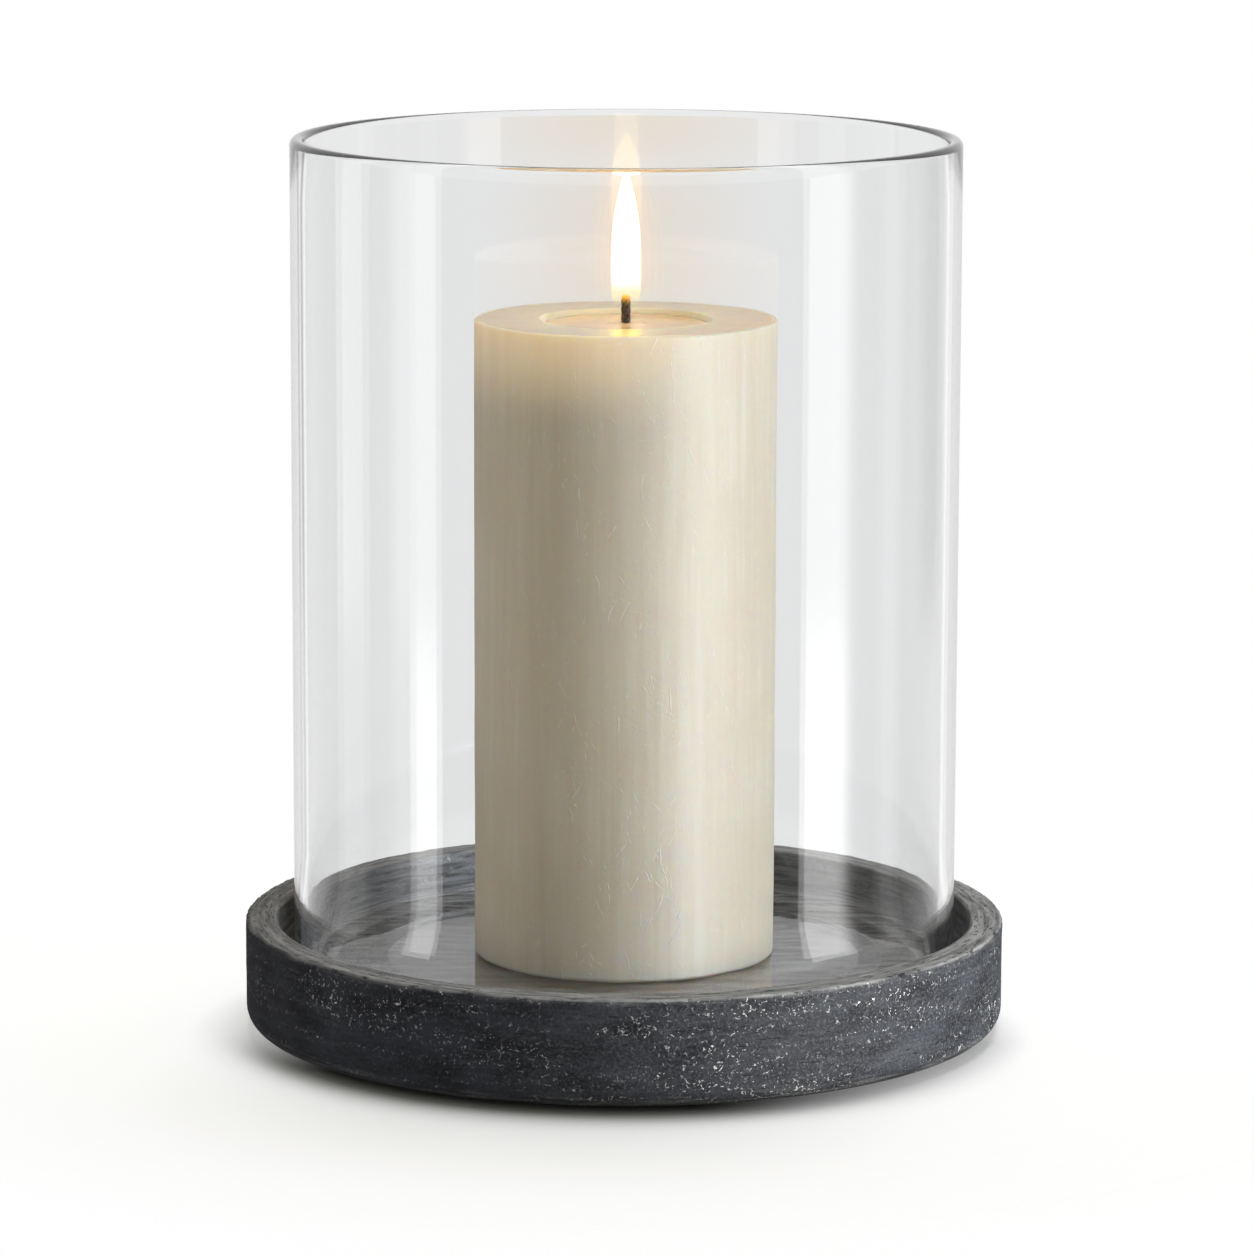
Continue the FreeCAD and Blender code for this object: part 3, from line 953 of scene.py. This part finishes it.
def standCards(ring):
    bpy.ops.object.select_all(action="DESELECT")
    bpy.ops.mesh.primitive_cylinder_add(vertices=ring["sides"], radius=ring["radius"], depth=ring["height"],
                                        end_fill_type="NOTHING", location=(0, 0, ring["height"] / 2))
    piece = bpy.context.object
    bpy.ops.object.transform_apply(location=True)
    piece.name = "reflection_cards"
    bpy.ops.object.mode_set(mode="EDIT")
    pickPoints(piece, lambda point: point.z < weldReach)
    bpy.ops.transform.translate(value=(0, 0, ring["lift"]))
    bpy.ops.mesh.extrude_region()
    inwards = ring["inner"] / ring["radius"]
    bpy.ops.transform.resize(value=(inwards, inwards, 1), center_override=(0, 0, ring["lift"]))
    bpy.ops.object.mode_set(mode="OBJECT")
    material, tree, shader = startMaterial("reflectionCards")
    parts = splitPlace(tree)[0]
    bearing = calc(tree, "ARCTAN2", parts.outputs["X"], calc(tree, "MULTIPLY", parts.outputs["Y"], -1))
    bearing = calc(tree, "DEGREES", bearing)
    path = addNode(tree, "LightPath")
    nearWall = calc(tree, "LESS_THAN", path.outputs["Transmission Depth"], 2.5)  # not the far wall's copies
    aside = calc(tree, "ABSOLUTE", bearing)
    reach = ring["surroundReach"]
    farSides = fade(tree, aside, *reach, ring["farBase"], ring["farShare"] * ring["surround"])
    far = calc(tree, "MAXIMUM", farSides, fade(tree, aside, *ring["farBackReach"], 0, ring["farBack"]))
    glow = fade(tree, nearWall, 0, 1, far, fade(tree, aside, *reach, ring["base"], ring["surround"]))
    low = fade(tree, parts.outputs["Z"], *ring["lowReach"])
    for card in cards:
        start, softStart = card["start"], card["softStart"]
        end, softEnd = card["end"], card["softEnd"]
        gain = calc(tree, "MULTIPLY", nearWall, fade(tree, low, 0, 1, 1, card["low"]))
        rise = fade(tree, bearing, start - softStart, start + softStart, 0, card["glow"])
        fall = fade(tree, bearing, end - softEnd, end + softEnd, gain, 0)
        glow = calc(tree, "ADD", calc(tree, "MULTIPLY", rise, fall), glow)
    sharp = path.outputs["Is Singular Ray"]
    dull = fade(tree, aside, *ring["roughReach"], ring["base"], ring["rough"])
    glow = fade(tree, sharp, 0, 1, dull, glow)
    light = addNode(tree, "Emission")
    feed(tree, light.inputs["Strength"], glow)
    clear = addNode(tree, "BsdfTransparent")
    mix = addNode(tree, "MixShader")
    mirrored = calc(tree, "COMPARE", path.outputs["Glossy Depth"], 1)
    over = calc(tree, "GREATER_THAN", parts.outputs["Z"], ring["sharpHeight"])
    feed(tree, mix.inputs["Fac"], calc(tree, "SUBTRACT", mirrored, calc(tree, "MULTIPLY", sharp, over)))
    feed(tree, mix.inputs[1], clear.outputs[0])
    feed(tree, mix.inputs[2], light.outputs[0])
    feed(tree, outputOf(tree), mix.outputs[0])
    tree.nodes.remove(shader)
    piece.data.materials.append(material)
    piece.visible_diffuse = False
    piece.visible_shadow = False


standCards(cardRing)

# Lamps: bearing in degrees to the right of the camera's line, height above the floor
softLamps = [
    dict(name="key", bearing=63, far=1.1, height=0.4, width=0.4, tall=0.75,
         power=12.5, colour=(0.94, 0.97, 1.0)),
    dict(name="top", bearing=165, far=0.5, height=1.5, width=0.9, tall=0.9,
         power=4, colour=(1.0, 0.96, 0.90)),
]
soloLamps = [  # each lights one piece alone
    dict(name="floor", piece=paleFloor, gloss=False, bearing=164, far=0.77, height=1.67, width=1.08,
         tall=0.55, power=24.4, colour=(1.0, 0.90, 0.75)),
    dict(name="tray", piece=trayPiece, gloss=False, bearing=80, far=1.1, height=0.3, width=0.4, tall=0.9,
         power=22, colour=(0.92, 0.96, 1.0)),
    dict(name="trayFill", piece=trayPiece, gloss=False, bearing=-45, far=1.1, height=0.3, width=0.4, tall=0.9,
         power=2.2, colour=(0.45, 0.6, 1.0)),
    dict(name="fill", piece=waxPiece, bearing=-82, far=1.4, height=0.4, width=0.4, tall=0.9,
         power=4.5, colour=(1.0, 0.98, 0.97)),
    dict(name="sheen", piece=waxPiece, diffuse=False, shadow=False, bearing=53, far=1.1, height=-0.05,
         width=0.6, tall=1.3, power=41, colour=(0.95, 0.98, 1.0)),  # off the floor, and nothing hides it
]
flameLamps = [
    dict(name="flame", gloss=False, power=0.037, radius=3 * mm, colour=(1.0, 0.65, 0.28), above=9 * mm),
    dict(name="flameShine", diffuse=False, power=0.05, radius=3 * mm, colour=(1.0, 0.85, 0.32), above=9 * mm),
]


def nameLamp(made, lamp):
    made.name = lamp["name"] + "_lamp"
    made.data.energy = lamp["power"]
    made.data.color = lamp["colour"]
    made.data.use_shadow = lamp.get("shadow", True)
    made.visible_transmission = False
    made.visible_diffuse = lamp.get("diffuse", True)
    made.visible_glossy = lamp.get("gloss", True)


def hangLamp(lamp):
    turn = math.radians(lamp["bearing"])
    place = Vector((lamp["far"] * math.sin(turn), -lamp["far"] * math.cos(turn), lamp["height"]))
    aim = Vector((0, 0, candleHigh.z / 2)) - place
    bpy.ops.object.light_add(type="AREA", location=place, rotation=aim.to_track_quat("-Z", "Y").to_euler())
    made = bpy.context.object
    made.data.shape = "RECTANGLE"
    made.data.size = lamp["width"]
    made.data.size_y = lamp["tall"]
    nameLamp(made, lamp)
    return made


def linkLamps(name, state, pieces, lamps):  # which lamps do, or do not, light some pieces
    group = bpy.data.collections.new(name)
    for piece in pieces:
        group.objects.link(piece)
    for linked in group.collection_objects:
        linked.light_linking.link_state = state
    for lamp in lamps:
        lamp.light_linking.receiver_collection = group


def lightFlame(lamp):
    bpy.ops.object.light_add(type="POINT", location=(0, 0, wickHigh.z + lamp["above"]))
    made = bpy.context.object
    made.data.shadow_soft_size = lamp["radius"]
    nameLamp(made, lamp)
    made.parent = flamePieces[0]
    return made


sharedLamps = [hangLamp(lamp) for lamp in softLamps] + [lightFlame(lamp) for lamp in flameLamps]
linkLamps("notLit", "EXCLUDE", [paleFloor, glassPiece], sharedLamps)
for lamp in soloLamps:
    linkLamps(lamp["name"] + "Alone", "INCLUDE", [lamp["piece"]], [hangLamp(lamp)])
print("studio lit")
